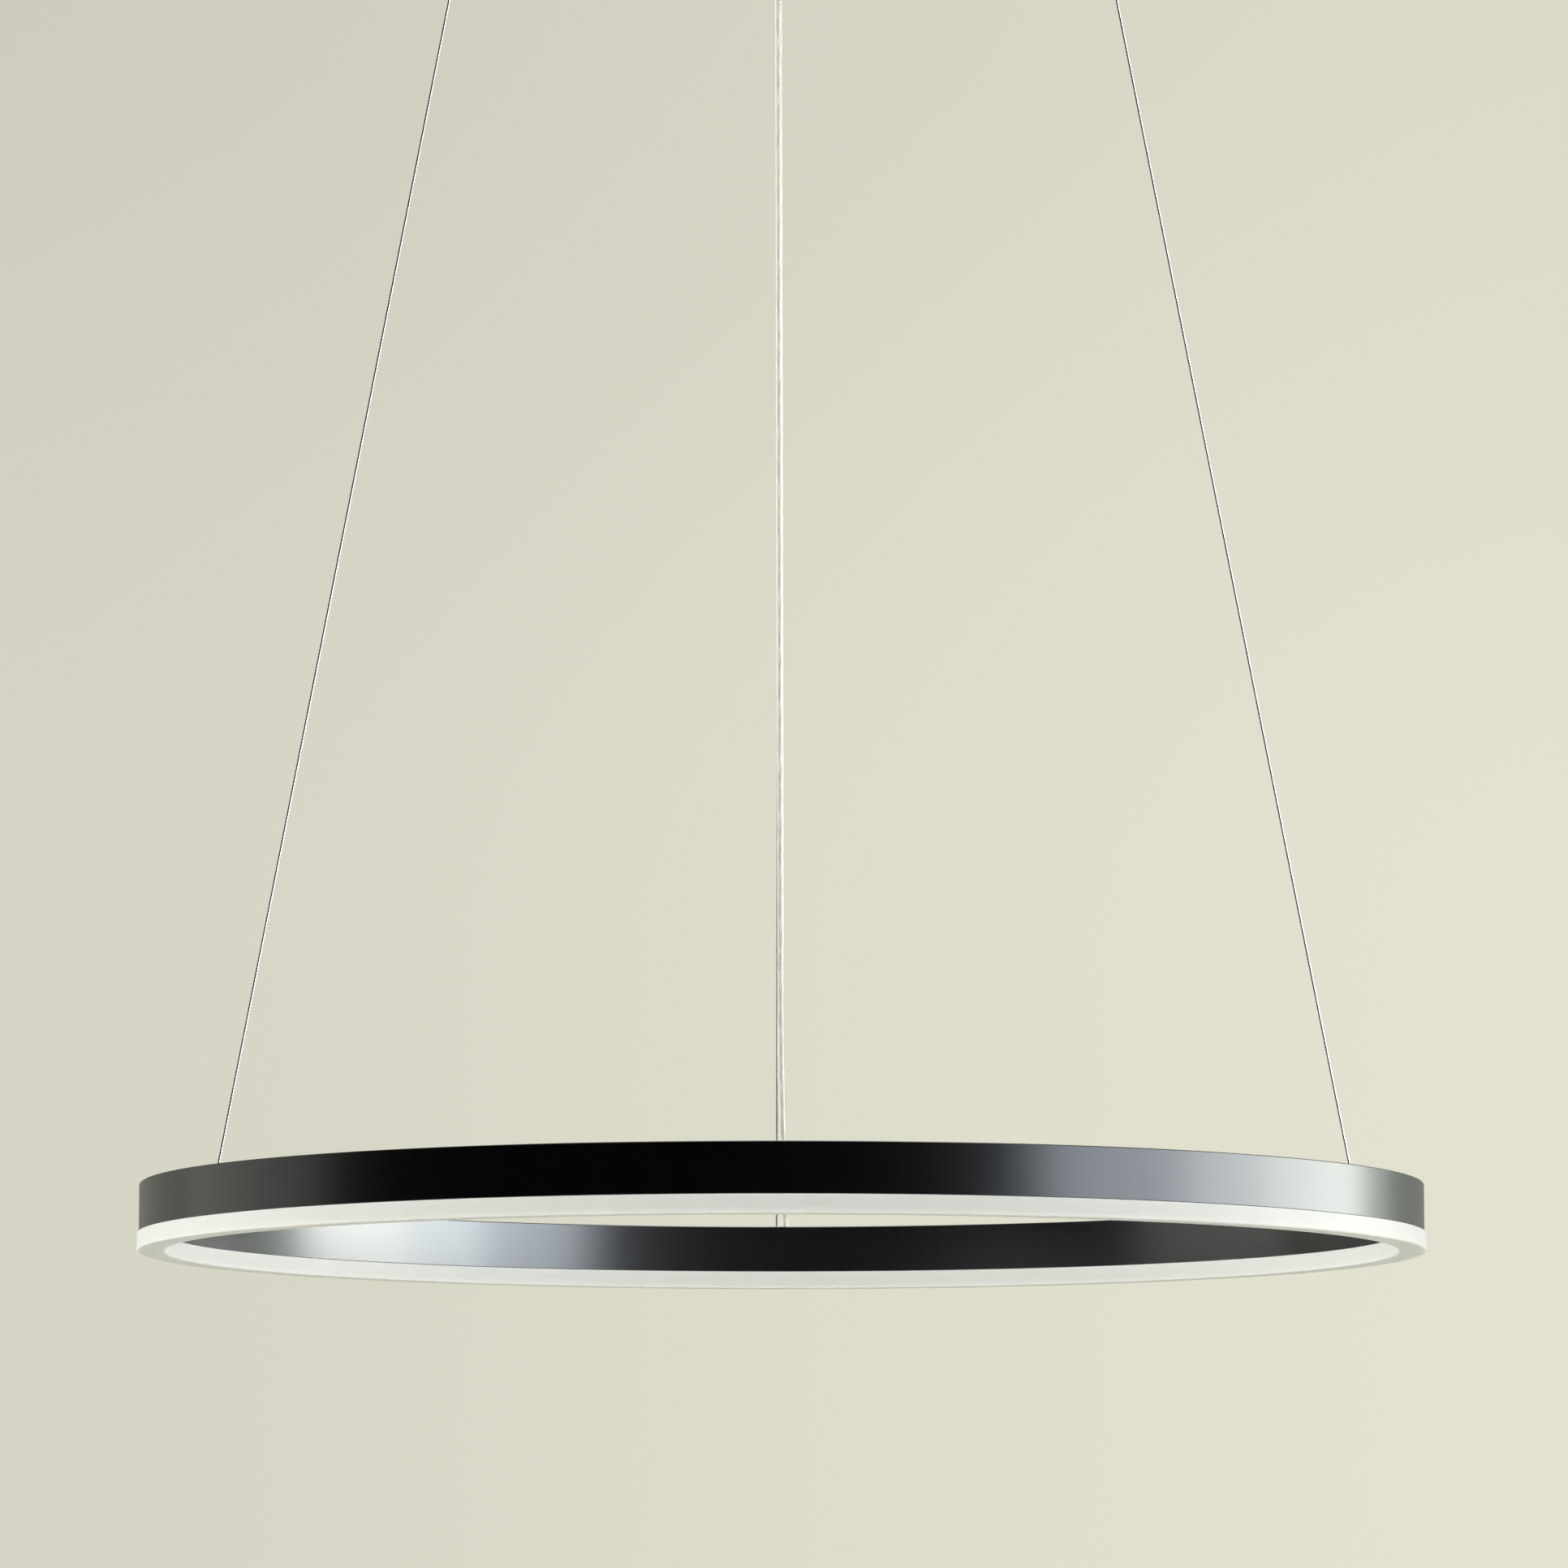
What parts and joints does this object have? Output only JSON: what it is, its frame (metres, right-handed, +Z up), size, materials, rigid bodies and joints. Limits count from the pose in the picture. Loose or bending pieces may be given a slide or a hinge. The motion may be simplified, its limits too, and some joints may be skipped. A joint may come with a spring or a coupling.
{
  "type": "led ring chandelier",
  "caption": "Pendant lamp: a slim black ring with an opal light band beneath, hung level on steel wires from a round ceiling canopy.",
  "frame": {"origin": "centre of the ceiling face, on the top of the mounting bracket and the canopy's rim", "axes": "+Z up into the ceiling, the lamp hangs down along -Z; +X along the mounting bracket; the rear wire and the cord are on the +Y side"},
  "size_m": [0.8023, 0.8024, 1.5735],
  "materials": {
    "black_band": "satin black powder coat",
    "black_canopy": "satin black powder coat",
    "opal": "opal, satin",
    "steel": "bright drawn and turned steel",
    "zinc_steel": "zinc plated",
    "nickel": "bright nickel plate",
    "clear_cord": "clear flexible PVC",
    "driver_plastic": "fine grained white",
    "terminal_green": "moulded",
    "black_nylon": "moulded nylon",
    "strip_board": "white solder mask",
    "led_phosphor": "phosphor gel",
    "lead_red": "PVC insulation"
  },
  "bodies": {
    "canopy": {"canopy_cup": "black_canopy", "mounting_bracket": "zinc_steel", "canopy_side_screws": "black_canopy", "ground_screw": "zinc_steel", "ground_washer": "zinc_steel", "driver_case": "driver_plastic", "driver_end_covers": "driver_plastic", "driver_terminals": "terminal_green", "driver_screws": "zinc_steel", "socket_bushes": "nickel", "bush_nuts": "zinc_steel", "cord_gland": "black_nylon", "gland_nut": "black_nylon", "cord_tail": "clear_cord", "power_cord": "clear_cord"},
    "ring": {"ring_channel": "black_band", "diffuser": "opal", "led_strip": "strip_board", "led_chips": "led_phosphor", "front_wire_anchors": "steel", "rear_anchor": "steel", "ring_connector": "driver_plastic", "strip_leads": "lead_red"},
    "wire_left": {"gripper_head_left": "nickel", "gripper_barrel_left": "nickel", "release_spring_left": "steel", "suspension_wire_left": "steel", "wire_ferrule_left": "steel"},
    "nipple_left": {"release_nipple_left": "nickel", "gripper_balls_left": "steel"},
    "wire_right": {"gripper_head_right": "nickel", "gripper_barrel_right": "nickel", "release_spring_right": "steel", "suspension_wire_right": "steel", "wire_ferrule_right": "steel"},
    "nipple_right": {"release_nipple_right": "nickel", "gripper_balls_right": "steel"},
    "wire_rear": {"gripper_head_rear": "nickel", "gripper_barrel_rear": "nickel", "release_spring_rear": "steel", "suspension_wire_rear": "steel", "wire_ferrule_rear": "steel"},
    "nipple_rear": {"release_nipple_rear": "nickel", "gripper_balls_rear": "steel"}
  },
  "joints": [
    {"name": "ring_sway", "type": "hinge", "parent": "canopy", "child": "ring", "pos_m": [0, 0, 0.3465], "axis": [0, 1, 0], "range_deg": [-3, 3], "deforming": ["power_cord"]},
    {"name": "wire_swing_left", "type": "hinge", "parent": "canopy", "child": "wire_left", "pos_m": [-0.06928, -0.04, -0.0375], "axis": [0, 1, 0], "range_deg": [-3.8, 3.8]},
    {"name": "release_left", "type": "slide", "parent": "wire_left", "child": "nipple_left", "axis": [0.1766, 0.102, 0.979], "range_m": [0, 0.0025], "stiffness_N_per_m": 400, "springref_m": -0.003, "deforming": ["release_spring_left"]},
    {"name": "wire_swing_right", "type": "hinge", "parent": "canopy", "child": "wire_right", "pos_m": [0.06928, -0.04, -0.0375], "axis": [0, 1, 0], "range_deg": [-3.8, 3.8]},
    {"name": "release_right", "type": "slide", "parent": "wire_right", "child": "nipple_right", "axis": [-0.1766, 0.102, 0.979], "range_m": [0, 0.0025], "stiffness_N_per_m": 400, "springref_m": -0.003, "deforming": ["release_spring_right"]},
    {"name": "wire_swing_rear", "type": "hinge", "parent": "canopy", "child": "wire_rear", "pos_m": [0, 0.08, -0.0375], "axis": [0, 1, 0], "range_deg": [-3.8, 3.8]},
    {"name": "release_rear", "type": "slide", "parent": "wire_rear", "child": "nipple_rear", "axis": [0, -0.204, 0.979], "range_m": [0, 0.0025], "stiffness_N_per_m": 400, "springref_m": -0.003, "deforming": ["release_spring_rear"]}
  ],
  "couplings": [
    {"joint": "wire_swing_left", "follows": "ring_sway", "ratio": 1.256},
    {"joint": "wire_swing_right", "follows": "ring_sway", "ratio": 1.256},
    {"joint": "wire_swing_rear", "follows": "ring_sway", "ratio": 1.256}
  ]
}
